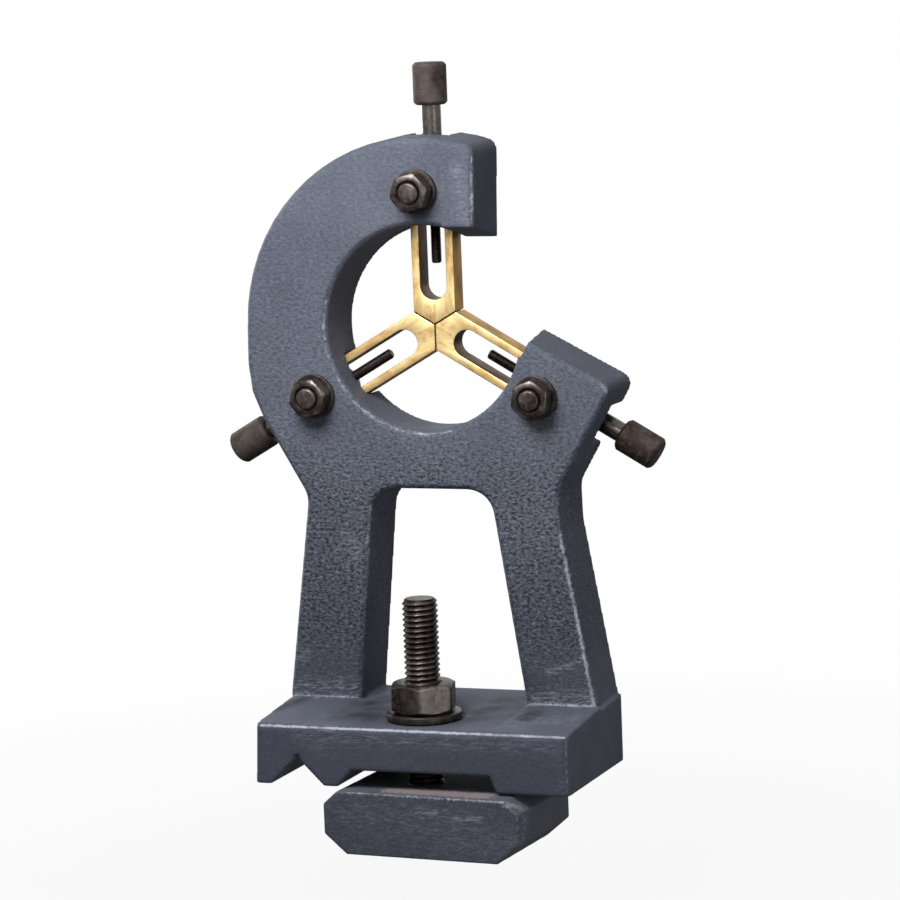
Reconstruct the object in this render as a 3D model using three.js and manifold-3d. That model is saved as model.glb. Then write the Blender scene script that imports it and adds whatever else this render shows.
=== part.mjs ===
// Three-finger steady rest for a small lathe, in millimetres.
// X runs across the bed, Y along it and away from the operator, Z up.
// The origin lies on the plane of the bed seat, straight below the work axis,
// in the plane of the ring's front face.

import * as THREE from 'three';
import { mergeVertices } from 'three/addons/utils/BufferGeometryUtils.js';
import Module from 'manifold-3d';

const wasm = await Module();
wasm.setup();

// Clearances and cutter overrun
const runningGap = 0.3;
const seatGap = 0.25;
const overrun = 2;

// Ring
const centreHeight = 124;
const ringRadius = 53;
const ringDepth = 19;
const boreRadius = 28.6;
const boreEdge = 1.4;
const boreBackInset = 0.3;
const boreBackDrop = 0.8;
const castEdge = 1.2;
const castBackSpread = 0.4;
const arcStepDegrees = 6;

// Ring mouth, between the end block above and the arm below
const blockSide = 17;
const blockSideLeanDegrees = 2;
const blockCorner = 3;
const armSide = 13.6;
const armInnerSide = 12.5;
const armCorner = 2.8;
const blockEndFront = 28;
const blockEndBack = 23.6;
const armEndFront = 28.8;
const armEndBack = 26.3;
const endStart = 7;

// Lugs that carry the two lower adjusting screws
const lugProud = 2.5;
const lugReach = ringRadius + lugProud;
const lugShoulder = 11;
const lugShoulderCorner = 30;
const leftLugFoot = 23;
const rightLugFoot = 19.4;
const lugFootCorner = 7;
const ringLeaveDegrees = 180;

// Legs and the gap between them, given by their edges below the work axis and at the base
const rightLegWaist = 38.6;
const waistBelowAxis = 55;
const waistCorner = 20;
const legFootLeft = -44.5;
const legFootRight = 47.1;
const gapTopBelowAxis = 45;
const gapTopLeft = -16.7;
const gapTopRight = 17.9;
const gapFootLeft = -23.3;
const gapFootRight = 27.2;
const gapCorner = 7.5;

// Base block
const baseFront = 28.3;
const baseLeft = -43.1;
const baseRight = 48.4;
const baseLeftLean = 0.9;
const baseLeftSpread = 1;
const baseTopFront = 17;
const baseTopBack = 19.3;
const footRise = 0.9;

// Bed seat: vee groove, lands and relief between them
const veeCentre = -31.2;
const veeDepth = 8;
const veeReliefHalf = 0.7;
const veeReliefRise = 0.6;
const reliefLeft = -19.4;
const reliefRight = 27.5;
const reliefDepth = 4.7;
const reliefSlopeLeft = 4.3;
const reliefSlopeRight = 2;

// Fingers
const thirdTurn = 360 / 3;
const fingerDegrees = { top: 90, left: 90 + thirdTurn, right: 90 + 2 * thirdTurn };
const fingerRecess = 5.5;
const fingerWidth = 12.4;
const fingerThickness = 7;
const fingerLength = lugReach - fingerRecess;
const tipSetback = 0.2;
const tipHalfAngleDegrees = 60;
const channelFloor = 10;
const slotWidth = 7.8;
const slotInner = 6.9;
const fingerEndBar = 6.6;
const slotOuter = fingerLength - fingerEndBar;
const slotArcSteps = 10;

// Adjusting screws
const screwRod = 3;
const screwRodTip = 16.9;
const screwShank = 5.6;
const screwHead = 9.5;
const screwHeadStandOff = 5.5;
const screwHeadStart = lugReach + screwHeadStandOff;
const screwHeadLength = 11.8;
const screwHeadChamfer = 0.9;
const screwTipChamfer = 0.4;
const screwGrooveDepth = 0.4;
const screwHoleGap = 0.2;
const clipOuter = 6;
const clipThickness = 0.7;
const clipMouthDegrees = 80;
const clipGap = 0.15;

// Lock bolts with washer and nut
const lockBolt = 6;
const lockEndRoom = 2.4;
const lockRadius = slotOuter - lockEndRoom - lockBolt / 2;
const lockBoltGap = 0.3;
const lockBoltProud = 0.5;
const lockBoltChamfer = 0.5;
const lockHead = 12;
const lockHeadThickness = 2.5;
const lockWasher = 12.4;
const lockWasherThickness = 1.2;
const lockWasherGap = 0.25;
const lockNutFlats = 10;
const lockNutHeight = 4.8;
const lockNutTurnDegrees = { top: 12, left: -48, right: 22 };
const nutThreadGap = 0.15;
const nutFaceShare = 0.95;
const nutSides = 6;

// Clamp stud, nut, washer and plate
const studX = 1.8;
const studY = -14.15;
const studDiameter = 10;
const studTop = 51;
const studChamfer = 1;
const studHoleGap = 0.5;
const studFootCover = 1.5;
const spotFaceDiameter = 23;
const spotFaceLevel = 17.05;
const clampWasher = 21;
const clampWasherThickness = 2;
const clampNutFlats = 17;
const clampNutHeight = 8;
const clampNutTurnDegrees = 7.5;
const plateWidth = 58.4;
const plateDepth = 36;
const plateThickness = 17.6;
const plateDrop = 0.6;
const plateHoleOffset = 5.7;
const plateTurnDegrees = -3.3;
const plateBevelWidth = 4.2;
const plateBevelHeight = 3.7;
const plateChamferWidth = 6.6;
const plateChamferHeight = 5.6;

const roundSteps = 24;

// Colours as the finished object shows them
const paintedIron = { color: 0x4b5058, roughness: 0.55, metalness: 0.25 };
const brass = { color: 0xb8934a, roughness: 0.35, metalness: 1 };
const blackedSteel = { color: 0x3a3230, roughness: 0.5, metalness: 0.8 };

const radians = THREE.MathUtils.degToRad;

// Solids for joining and cutting

function toSolid(geometry) {
  const bare = geometry.clone();
  bare.deleteAttribute('normal');
  bare.deleteAttribute('uv');
  const merged = mergeVertices(bare);
  return new wasm.Manifold(new wasm.Mesh({
    numProp: 3,
    vertProperties: new Float32Array(merged.attributes.position.array),
    triVerts: new Uint32Array(merged.index.array),
  }));
}

function toGeometry(solid) {
  const mesh = solid.getMesh();
  const geometry = new THREE.BufferGeometry();
  geometry.setAttribute('position', new THREE.BufferAttribute(mesh.vertProperties, mesh.numProp));
  geometry.setIndex(new THREE.BufferAttribute(mesh.triVerts, 1));
  geometry.computeVertexNormals();
  return geometry;
}

function named(name, shape, finish) {
  const geometry = shape.isBufferGeometry ? shape : toGeometry(shape);
  const material = new THREE.MeshStandardMaterial({ ...finish, flatShading: true });
  const mesh = new THREE.Mesh(geometry, material);
  mesh.name = name;
  return mesh;
}

// Outlines in the XZ plane, run counterclockwise as seen from the front

const point = (x, z) => new THREE.Vector2(x, z);

function polar(radius, degrees) {
  return point(radius * Math.cos(radians(degrees)), radius * Math.sin(radians(degrees)));
}

// A place given along a finger's axis and across it, counterclockwise being positive.
function alongAxis(degrees, along, across) {
  return polar(along, degrees).add(polar(across, degrees + 90));
}

function arc(radius, fromDegrees, toDegrees) {
  const steps = Math.ceil(Math.abs(toDegrees - fromDegrees) / arcStepDegrees);
  const sweep = (toDegrees - fromDegrees) / steps;
  return Array.from({ length: steps + 1 }, (_, i) => polar(radius, fromDegrees + i * sweep));
}

function corner(place, radius) {
  return { place, radius };
}

// Replaces each corner that has a radius by an arc tangent to its two sides.
function roundCorners(items) {
  const corners = items.map((item) => (item.isVector2 ? corner(item, 0) : item));
  const count = corners.length;
  return corners.flatMap(({ place, radius }, i) => {
    if (radius === 0) return [place];
    const toLast = corners[(i + count - 1) % count].place.clone().sub(place);
    const toNext = corners[(i + 1) % count].place.clone().sub(place);
    const room = Math.min(toLast.length(), toNext.length());
    toLast.normalize();
    toNext.normalize();
    const halfAngle = Math.acos(THREE.MathUtils.clamp(toLast.dot(toNext), -1, 1)) / 2;
    const trim = Math.min(radius / Math.tan(halfAngle), room);
    const fillet = trim * Math.tan(halfAngle);
    const bisector = toLast.clone().add(toNext).normalize();
    const centre = place.clone().addScaledVector(bisector, fillet / Math.sin(halfAngle));
    const from = place.clone().addScaledVector(toLast, trim).sub(centre);
    const to = place.clone().addScaledVector(toNext, trim).sub(centre);
    const turn = Math.atan2(from.cross(to), from.dot(to));
    const steps = Math.max(2, Math.ceil(Math.abs(turn) / radians(3 * arcStepDegrees)));
    return Array.from({ length: steps + 1 }, (_, k) =>
      from.clone().rotateAround(point(0, 0), (turn * k) / steps).add(centre));
  });
}

// Moves every side of a ring outwards by a distance, or inwards where it is negative.
function offsetRing(ring, distance) {
  const count = ring.length;
  const normals = ring.map((place, i) => {
    const side = ring[(i + 1) % count].clone().sub(place).normalize();
    return point(side.y, -side.x);
  });
  return ring.map((place, i) => {
    const before = normals[(i + count - 1) % count];
    const middle = before.clone().add(normals[i]).normalize();
    return place.clone().addScaledVector(middle, distance / middle.dot(normals[i]));
  });
}

// Joins rings of equal count at growing Y into one closed body with flat ends.
function loftAlongY(sections) {
  const count = sections[0].ring.length;
  const positions = sections.flatMap(({ y, ring }) => ring.flatMap((p) => [p.x, y, p.y]));
  const last = (sections.length - 1) * count;
  const triangles = [];
  for (const [a, b, c] of THREE.ShapeUtils.triangulateShape(sections[0].ring, [])) {
    triangles.push(a, b, c);
  }
  for (const [a, b, c] of THREE.ShapeUtils.triangulateShape(sections.at(-1).ring, [])) {
    triangles.push(last + a, last + c, last + b);
  }
  for (let row = 0; row < last; row += count) {
    for (let i = 0; i < count; i += 1) {
      const a = row + i;
      const b = row + ((i + 1) % count);
      triangles.push(a, b + count, b);
      triangles.push(a, a + count, b + count);
    }
  }
  const geometry = new THREE.BufferGeometry();
  geometry.setAttribute('position', new THREE.Float32BufferAttribute(positions, 3));
  geometry.setIndex(triangles);
  return toSolid(geometry);
}

function plainPlate(ring, front, back) {
  return loftAlongY([{ y: front, ring }, { y: back, ring }]);
}

// A turned body: profile points are radius and height along the axis, from axis to axis.
function turned(profile, steps = roundSteps) {
  return new THREE.LatheGeometry(profile.map(([radius, height]) => point(radius, height)), steps);
}

// A turned ring: its profile closes on itself.
function turnedRing(inner, outer, low, high, steps = roundSteps) {
  return turned([[inner, low], [outer, low], [outer, high], [inner, high], [inner, low]], steps);
}

function rod(radius, low, high, steps = roundSteps) {
  return turned([[0, low], [radius, low], [radius, high], [0, high]], steps);
}

const upAlongZ = (geometry) => geometry.rotateX(radians(90));

// Frame casting

function outerOutline() {
  const { left, right } = fingerDegrees;
  const blockDegrees = THREE.MathUtils.radToDeg(Math.acos(blockSide / ringRadius));
  const blockTop = polar(ringRadius, blockDegrees);
  const lean = Math.tan(radians(blockSideLeanDegrees));
  const armOuter = alongAxis(right, lugReach, armSide);
  const armInner = alongAxis(right, armEndFront, armInnerSide);
  const armSlope = (armOuter.y - armInner.y) / (armOuter.x - armInner.x);
  const drop = blockTop.y - armInner.y - (blockSide - armInner.x) * armSlope;
  const fall = drop / (1 - lean * armSlope);
  const footLevel = baseTopBack - centreHeight;
  const buried = baseTopFront - centreHeight - overrun;
  return roundCorners([
    point(blockSide - fall * lean, blockTop.y - fall),
    corner(blockTop, blockCorner),
    ...arc(ringRadius, blockDegrees, ringLeaveDegrees).slice(1),
    corner(alongAxis(left, lugReach, -lugShoulder), lugShoulderCorner),
    corner(alongAxis(left, lugReach, leftLugFoot), lugFootCorner),
    point(legFootLeft, footLevel),
    point(baseLeft, buried),
    point(legFootRight - castEdge, buried),
    point(legFootRight, footLevel),
    corner(point(rightLegWaist, -waistBelowAxis), waistCorner),
    corner(alongAxis(right, lugReach, -rightLugFoot), lugFootCorner),
    corner(armOuter, armCorner),
  ]);
}

function gapOutline() {
  const foot = baseTopFront - centreHeight - overrun;
  return roundCorners([
    point(gapFootLeft, foot),
    point(gapFootRight, foot),
    corner(point(gapTopRight, -gapTopBelowAxis), gapCorner),
    corner(point(gapTopLeft, -gapTopBelowAxis), gapCorner),
  ]);
}

// The front edge is broken, and the outline grows towards the back so that the pattern draws.
function draftedPlate(outline) {
  return loftAlongY([
    { y: 0, ring: offsetRing(outline, -castEdge) },
    { y: castEdge, ring: outline },
    { y: ringDepth, ring: offsetRing(outline, castBackSpread) },
  ]);
}

function gapCutter() {
  const outline = gapOutline();
  return loftAlongY([
    { y: -overrun, ring: offsetRing(outline, castEdge + overrun) },
    { y: castEdge, ring: outline },
    { y: ringDepth + overrun, ring: offsetRing(outline, -castBackSpread) },
  ]);
}

// The bore's front edge is flared, and its core sits a little low at the back.
function boreCutter() {
  const circle = (radius, drop) => arc(radius, 0, 360).slice(1).map((p) => p.sub(point(0, drop)));
  return loftAlongY([
    { y: -overrun, ring: circle(boreRadius + boreEdge + overrun, 0) },
    { y: boreEdge, ring: circle(boreRadius, 0) },
    { y: ringDepth + overrun, ring: circle(boreRadius - boreBackInset, boreBackDrop) },
  ]);
}

// Each end of the ring is squared off beside its finger channel, by a face that leans
// towards the work at the back. The bound is how far the wedge reaches from that face.
function ringEndWedge({ degrees, side, endFront, endBack }, bound) {
  const section = (y, level) => {
    const sides = [
      alongAxis(degrees, level, side * endStart),
      alongAxis(degrees, bound, side * endStart),
      alongAxis(degrees, bound, side * boreRadius),
      alongAxis(degrees, level, side * boreRadius),
    ];
    return { y, ring: THREE.ShapeUtils.isClockWise(sides) ? sides.reverse() : sides };
  };
  const lean = (endFront - endBack) * (overrun / ringDepth);
  return loftAlongY([
    section(-overrun, endFront + lean),
    section(ringDepth + overrun, endBack - lean),
  ]);
}

function baseRing(inset, top, leftSpread) {
  const left = baseLeft + inset - leftSpread;
  const apexHalf = veeReliefHalf;
  const flankTop = veeDepth - apexHalf;
  return [
    point(left - baseLeftLean, 0),
    point(veeCentre - veeDepth, 0),
    point(veeCentre - apexHalf, flankTop),
    point(veeCentre - apexHalf, veeDepth + veeReliefRise),
    point(veeCentre + apexHalf, veeDepth + veeReliefRise),
    point(veeCentre + apexHalf, flankTop),
    point(veeCentre + veeDepth, 0),
    point(reliefLeft, 0),
    point(reliefLeft + reliefSlopeLeft, reliefDepth),
    point(reliefRight - reliefSlopeRight, reliefDepth),
    point(reliefRight, 0),
    point(baseRight - inset, 0),
    point(baseRight - inset, top - inset),
    point(left, top - inset),
  ];
}

function baseBlock() {
  return loftAlongY([
    { y: -baseFront, ring: baseRing(castEdge, baseTopFront, 0) },
    { y: castEdge - baseFront, ring: baseRing(0, baseTopFront, 0) },
    { y: ringDepth, ring: baseRing(0, baseTopBack, baseLeftSpread) },
  ]);
}

// In front of each leg the base rises a little, up to the crease where the leg starts.
function legFoot(inner, outer, outerAtLeg) {
  const low = reliefDepth + overrun;
  const creaseShare = baseFront / (baseFront + ringDepth);
  const crease = THREE.MathUtils.lerp(baseTopFront, baseTopBack, creaseShare) + footRise;
  const section = (y, edge, top) => {
    const near = Math.min(inner, edge);
    const far = Math.max(inner, edge);
    return { y, ring: [point(near, low), point(far, low), point(far, top), point(near, top)] };
  };
  return loftAlongY([
    section(castEdge - baseFront, outer, baseTopFront),
    section(castEdge, outerAtLeg, crease),
  ]);
}

function channelCutter(degrees) {
  const half = fingerWidth / 2 + runningGap;
  const inner = boreRadius / 2;
  const outer = lugReach + overrun;
  const ring = [
    alongAxis(degrees, inner, -half),
    alongAxis(degrees, outer, -half),
    alongAxis(degrees, outer, half),
    alongAxis(degrees, inner, half),
  ];
  return plainPlate(ring, channelFloor, ringDepth + overrun);
}

function boltHoleCutter(degrees) {
  const place = polar(lockRadius, degrees);
  const hole = rod(lockBolt / 2 + lockBoltGap, -overrun, channelFloor + overrun);
  return toSolid(hole.translate(place.x, 0, place.y));
}

function studHoleCutter() {
  const hole = upAlongZ(rod(studDiameter / 2 + studHoleGap, -overrun, baseTopBack + overrun));
  const face = upAlongZ(rod(spotFaceDiameter / 2, spotFaceLevel, baseTopBack + overrun));
  return toSolid(hole).add(toSolid(face)).translate([studX, studY, 0]);
}

function frameCasting() {
  const leftSpread = (baseFront / (baseFront + ringDepth)) * baseLeftSpread;
  const { top, right } = fingerDegrees;
  const block = { degrees: top, side: -1, endFront: blockEndFront, endBack: blockEndBack };
  const arm = { degrees: right, side: 1, endFront: armEndFront, endBack: armEndBack };
  const plate = draftedPlate(outerOutline());
  let ringAndLegs = plate.subtract(boreCutter()).subtract(gapCutter());
  for (const end of [block, arm]) {
    const pad = ringEndWedge(end, boreRadius + overrun).intersect(plate);
    ringAndLegs = ringAndLegs.add(pad).subtract(ringEndWedge(end, boreRadius / 2));
  }
  for (const degrees of Object.values(fingerDegrees)) {
    ringAndLegs = ringAndLegs.subtract(channelCutter(degrees)).subtract(boltHoleCutter(degrees));
  }
  return ringAndLegs
    .translate([0, 0, centreHeight])
    .add(baseBlock())
    .add(legFoot(gapFootLeft, baseLeft, baseLeft - leftSpread))
    .add(legFoot(gapFootRight, baseRight, baseRight))
    .subtract(studHoleCutter());
}

// Pieces of one finger station, made with the finger's axis along Z and its tip at the origin

const fingerFront = channelFloor + runningGap;
const fingerBack = fingerFront + fingerThickness;
const fingerMiddle = fingerFront + fingerThickness / 2;

function finger() {
  const half = fingerWidth / 2;
  const shoulder = tipSetback + half / Math.tan(radians(tipHalfAngleDegrees));
  const plate = plainPlate([
    point(0, tipSetback),
    point(half, shoulder),
    point(half, fingerLength),
    point(-half, fingerLength),
    point(-half, shoulder),
  ], fingerFront, fingerBack);
  const slotHalf = slotWidth / 2;
  const slotCentre = point(0, slotInner + slotHalf);
  const slotEnd = Array.from({ length: slotArcSteps + 1 }, (_, i) =>
    polar(slotHalf, 180 + (180 * i) / slotArcSteps).add(slotCentre));
  const slot = [...slotEnd, point(slotHalf, slotOuter), point(-slotHalf, slotOuter)];
  const neck = upAlongZ(rod(screwRod / 2 + screwHoleGap, slotOuter - overrun, fingerLength + overrun));
  return plate
    .subtract(plainPlate(slot, fingerFront - overrun, fingerBack + overrun))
    .subtract(toSolid(neck.translate(0, fingerMiddle, 0)));
}

const shankStart = fingerLength + runningGap;
const clipHigh = slotOuter - runningGap;
const clipLow = clipHigh - clipThickness;
const grooveRadius = screwRod / 2 - screwGrooveDepth;

function adjustingScrew() {
  const rodRadius = screwRod / 2;
  const headRadius = screwHead / 2;
  const headEnd = screwHeadStart + screwHeadLength;
  return upAlongZ(turned([
    [0, screwRodTip],
    [rodRadius - screwTipChamfer, screwRodTip],
    [rodRadius, screwRodTip + screwTipChamfer],
    [rodRadius, clipLow - clipGap],
    [grooveRadius, clipLow - clipGap],
    [grooveRadius, clipHigh + clipGap],
    [rodRadius, clipHigh + clipGap],
    [rodRadius, shankStart],
    [screwShank / 2, shankStart],
    [screwShank / 2, screwHeadStart],
    [headRadius - screwHeadChamfer, screwHeadStart],
    [headRadius, screwHeadStart + screwHeadChamfer],
    [headRadius, headEnd - screwHeadChamfer],
    [headRadius - screwHeadChamfer, headEnd],
    [0, headEnd],
  ])).translate(0, fingerMiddle, 0);
}

// A sprung clip, open on one side, that sits in the screw's groove inside the slot.
function retainingClip() {
  const inner = grooveRadius + clipGap;
  const half = clipMouthDegrees / 2;
  const shape = new THREE.Shape();
  shape.absarc(0, 0, clipOuter / 2, radians(half), radians(360 - half), false);
  shape.absarc(0, 0, inner, radians(360 - half), radians(half), true);
  shape.closePath();
  const clip = new THREE.ExtrudeGeometry(shape, {
    depth: clipThickness,
    bevelEnabled: false,
    curveSegments: roundSteps,
  });
  return clip.translate(0, fingerMiddle, clipLow);
}

const lockWasherBack = -seatGap;
const lockWasherFront = lockWasherBack - lockWasherThickness;
const lockNutBack = lockWasherFront - seatGap;
const lockNutFront = lockNutBack - lockNutHeight;

function lockBoltPiece() {
  const radius = lockBolt / 2;
  const front = lockNutFront - lockBoltProud;
  const headFront = fingerBack + runningGap;
  const body = turned([
    [0, front],
    [radius - lockBoltChamfer, front],
    [radius, front + lockBoltChamfer],
    [radius, headFront],
    [lockHead / 2, headFront],
    [lockHead / 2, headFront + lockHeadThickness],
    [0, headFront + lockHeadThickness],
  ]).translate(0, 0, lockRadius);
  const crossHole = upAlongZ(rod(
    screwRod / 2 + screwHoleGap,
    lockRadius - lockBolt,
    lockRadius + lockBolt,
    roundSteps / 2,
  )).translate(0, fingerMiddle, 0);
  return toSolid(body).subtract(toSolid(crossHole));
}

function lockWasherPiece() {
  const inner = lockBolt / 2 + lockWasherGap;
  return turnedRing(inner, lockWasher / 2, lockWasherFront, lockWasherBack)
    .translate(0, 0, lockRadius);
}

// A hexagon nut round the Y axis, its corners turned down at both faces.
function hexNut(flats, thread, low, high, turnDegrees) {
  const cornerRadius = flats / Math.sqrt(3);
  const faceRadius = (flats / 2) * nutFaceShare;
  const bevel = (cornerRadius - faceRadius) / Math.sqrt(3);
  const hexagon = Array.from({ length: nutSides }, (_, i) =>
    polar(cornerRadius, (360 / nutSides) * i + turnDegrees));
  const turnedDown = turned([
    [0, low],
    [faceRadius, low],
    [cornerRadius, low + bevel],
    [cornerRadius, high - bevel],
    [faceRadius, high],
    [0, high],
  ], 2 * roundSteps);
  const threadHole = rod(thread / 2 + nutThreadGap, low - overrun, high + overrun);
  return plainPlate(hexagon, low, high)
    .intersect(toSolid(turnedDown))
    .subtract(toSolid(threadHole));
}

function lockNutPiece(station) {
  const turnDegrees = lockNutTurnDegrees[station];
  return hexNut(lockNutFlats, lockBolt, lockNutFront, lockNutBack, turnDegrees)
    .translate([0, 0, lockRadius]);
}

function fingerStation(station) {
  const group = new THREE.Group();
  group.position.z = centreHeight;
  group.rotation.y = radians(90 - fingerDegrees[station]);
  group.add(
    named(`${station}_finger`, finger(), brass),
    named(`${station}_adjusting_screw`, adjustingScrew(), blackedSteel),
    named(`${station}_retaining_clip`, retainingClip(), blackedSteel),
    named(`${station}_lock_bolt`, lockBoltPiece(), blackedSteel),
    named(`${station}_lock_washer`, lockWasherPiece(), blackedSteel),
    named(`${station}_lock_nut`, lockNutPiece(station), blackedSteel),
  );
  return group;
}

// Bed clamp

const clampWasherLow = spotFaceLevel + seatGap;
const clampWasherHigh = clampWasherLow + clampWasherThickness;
const clampNutLow = clampWasherHigh + seatGap;
const plateTop = -plateDrop;
const plateBottom = plateTop - plateThickness;

function clampStud() {
  const radius = studDiameter / 2;
  const low = plateBottom + studFootCover;
  return upAlongZ(turned([
    [0, low],
    [radius - studChamfer, low],
    [radius, low + studChamfer],
    [radius, studTop - studChamfer],
    [radius - studChamfer, studTop],
    [0, studTop],
  ]));
}

function clampWasherPiece() {
  const inner = studDiameter / 2 + runningGap;
  return upAlongZ(turnedRing(inner, clampWasher / 2, clampWasherLow, clampWasherHigh));
}

function clampNut() {
  const nut = hexNut(
    clampNutFlats,
    studDiameter,
    -clampNutHeight,
    0,
    clampNutTurnDegrees,
  );
  return upAlongZ(toGeometry(nut)).translate(0, 0, clampNutLow + clampNutHeight);
}

function clampPlate() {
  const left = plateHoleOffset - plateWidth / 2;
  const right = plateHoleOffset + plateWidth / 2;
  const ring = [
    point(left + plateChamferWidth, plateBottom),
    point(right - plateChamferWidth, plateBottom),
    point(right, plateBottom + plateChamferHeight),
    point(right, plateTop - plateBevelHeight),
    point(right - plateBevelWidth, plateTop),
    point(left + plateBevelWidth, plateTop),
    point(left, plateTop - plateBevelHeight),
    point(left, plateBottom + plateChamferHeight),
  ];
  const hole = upAlongZ(rod(studDiameter / 2 + nutThreadGap, plateBottom - overrun, overrun));
  return plainPlate(ring, -plateDepth / 2, plateDepth / 2).subtract(toSolid(hole));
}

function bedClamp() {
  const plate = named('clamp_plate', clampPlate(), paintedIron);
  plate.rotation.z = radians(plateTurnDegrees);
  const group = new THREE.Group();
  group.position.set(studX, studY, 0);
  group.add(
    named('clamp_stud', clampStud(), blackedSteel),
    named('clamp_washer', clampWasherPiece(), blackedSteel),
    named('clamp_nut', clampNut(), blackedSteel),
    plate,
  );
  return group;
}

const steadyRest = new THREE.Group();
steadyRest.add(named('frame_casting', frameCasting(), paintedIron));
for (const station of Object.keys(fingerDegrees)) {
  steadyRest.add(fingerStation(station));
}
steadyRest.add(bedClamp());

export default steadyRest;
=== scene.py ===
"""Looks of the three-finger lathe steady rest: painted casting, brass fingers, blacked fasteners.

Lengths are in metres, in the frame's own axes: X across the bed, Y along it, Z up.
Sizes are written in millimetres and turned into metres by MM. Colours are written in display
values from 0 to 255 and turned into linear light by the function colour.
"""

import math

import bpy
import numpy as np
from mathutils import Matrix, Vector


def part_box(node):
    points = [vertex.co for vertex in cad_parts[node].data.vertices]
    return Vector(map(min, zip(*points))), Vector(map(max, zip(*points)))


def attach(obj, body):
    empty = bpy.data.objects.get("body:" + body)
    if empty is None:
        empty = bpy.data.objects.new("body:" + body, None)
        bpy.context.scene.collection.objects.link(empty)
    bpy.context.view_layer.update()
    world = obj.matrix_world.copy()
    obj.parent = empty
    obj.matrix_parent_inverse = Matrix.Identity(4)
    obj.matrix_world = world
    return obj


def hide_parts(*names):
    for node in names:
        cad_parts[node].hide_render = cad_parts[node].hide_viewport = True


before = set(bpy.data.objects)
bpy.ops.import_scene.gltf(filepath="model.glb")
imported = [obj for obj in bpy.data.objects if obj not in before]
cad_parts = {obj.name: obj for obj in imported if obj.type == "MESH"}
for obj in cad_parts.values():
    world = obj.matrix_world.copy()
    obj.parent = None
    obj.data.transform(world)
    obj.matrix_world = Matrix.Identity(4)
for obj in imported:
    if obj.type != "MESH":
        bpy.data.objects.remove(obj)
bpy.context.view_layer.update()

MM = 0.001

# Places that the frame gives. The floor stays clear of the plate at its lowest.
FINGER_TURN = {"top": 90.0, "left": 210.0, "right": 330.0}
CENTRE_HEIGHT = 124.0 * MM
CLAMP_DROP = 20.0 * MM
FLOOR_GAP = 0.5 * MM
FLOOR_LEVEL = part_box("clamp_plate")[0].z - CLAMP_DROP - FLOOR_GAP

# Camera of the photograph: degrees and metres, but lens and sensor in millimetres
VIEW_AZIMUTH = 21.1
VIEW_ELEVATION = 7.97
VIEW_ROLL = -2.25
VIEW_PLACE = (0.4030, -1.0261, 0.2442)
VIEW_LENS = 160.4
VIEW_SENSOR = 36.0
VIEW_NEAREST = 0.01
VIEW_FURTHEST = 20.0

# Light: each lamp's place, the point it is aimed at, its side and its power in watts
SURROUNDING_LIGHT = 0.14
LAMPS = {
    "key": ((-0.02, -0.23, 0.32), (0.0, 0.0, 0.12), 0.16, 1.7),
    "fill": ((0.36, -0.2, 0.05), (0.0, 0.0, 0.02), 0.2, 0.36),
    "back": ((-0.56, 0.34, 0.18), (0.0, 0.0, 0.09), 0.4, 2.8),
}

# Floor: it turns from nearly white to white between two distances from the part
FLOOR_HALF = 3.0
FLOOR_SHADE = (120, 120, 120)
FLOOR_NEAR = 0.08
FLOOR_FAR = 0.4
FLOOR_NEAR_WHITE = 0.92

# Cast skins. The last two are reaches in cells: how far a point is drawn to a sharp edge, and how
# far it moves where the edge mark is full.
CAST_CELL = 0.7 * MM
CAST_DEPTH = 8
PLATE_CELL = 0.48 * MM
PLATE_DEPTH = 7
CAST_SMOOTHING = 4
EDGE_SMOOTHING = 12
SHARP_TURN = math.radians(28.0)
EDGE_STEP = 0.1 * MM
CAST_SMOOTH_ANGLE = 180.0
EDGE_DRAW = 0.5
EDGE_FULL = 0.8

# Adjusting screws, with places along them measured from the rod's inner end
END_RADIUS = 0.3 * MM
ROD_RADIUS = 1.5 * MM
ROD_CHAMFER = 0.4 * MM
ROD_PITCH = 0.5 * MM
ROD_THREAD_DEPTH = 0.22 * MM
ROD_THREAD_FROM = 0.9 * MM
ROD_THREAD_END = 25.0 * MM
ROD_COLUMNS = 20
SHANK_START = 33.3 * MM
SHANK_RADIUS = 2.8 * MM
SHANK_FROM = 2.0 * MM
HEAD_START = 44.1 * MM
HEAD_RADIUS = 4.75 * MM
HEAD_CHAMFER = 0.8 * MM
HEAD_EASE = 0.25 * MM
HEAD_STEP = 0.1 * MM
HEAD_COLUMNS = 170
KNURL_PITCH = 0.82 * MM
KNURL_COUNT = 34
KNURL_DEPTH = 0.13 * MM
KNURL_MARGIN = 0.5 * MM
KNURL_FADE = 0.4 * MM
SCREW_SMOOTH_ANGLE = 60.0

# Fingers: the slot starts at a place from the centre and stops short of the outer end
FINGER_WIDTH = 12.4 * MM
FINGER_TIP = 3.58 * MM
FINGER_EDGE = 0.25 * MM
FINGER_ROWS = 60
FINGER_TIP_COLUMNS = 25
FINGER_END_COLUMNS = 12
SLOT_WIDTH = 7.8 * MM
SLOT_START = 6.9 * MM
SLOT_MARGIN = 6.6 * MM

# Clamp stud
STUD_RADIUS = 5.0 * MM
STUD_END_RADIUS = 0.5 * MM
STUD_CHAMFER = 1.0 * MM
STUD_PITCH = 1.5 * MM
STUD_THREAD_DEPTH = 0.75 * MM
STUD_GROOVE_FROM = 3.9 * MM
STUD_COLUMNS = 48
STUD_SMOOTH_ANGLE = 50.0

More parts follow.
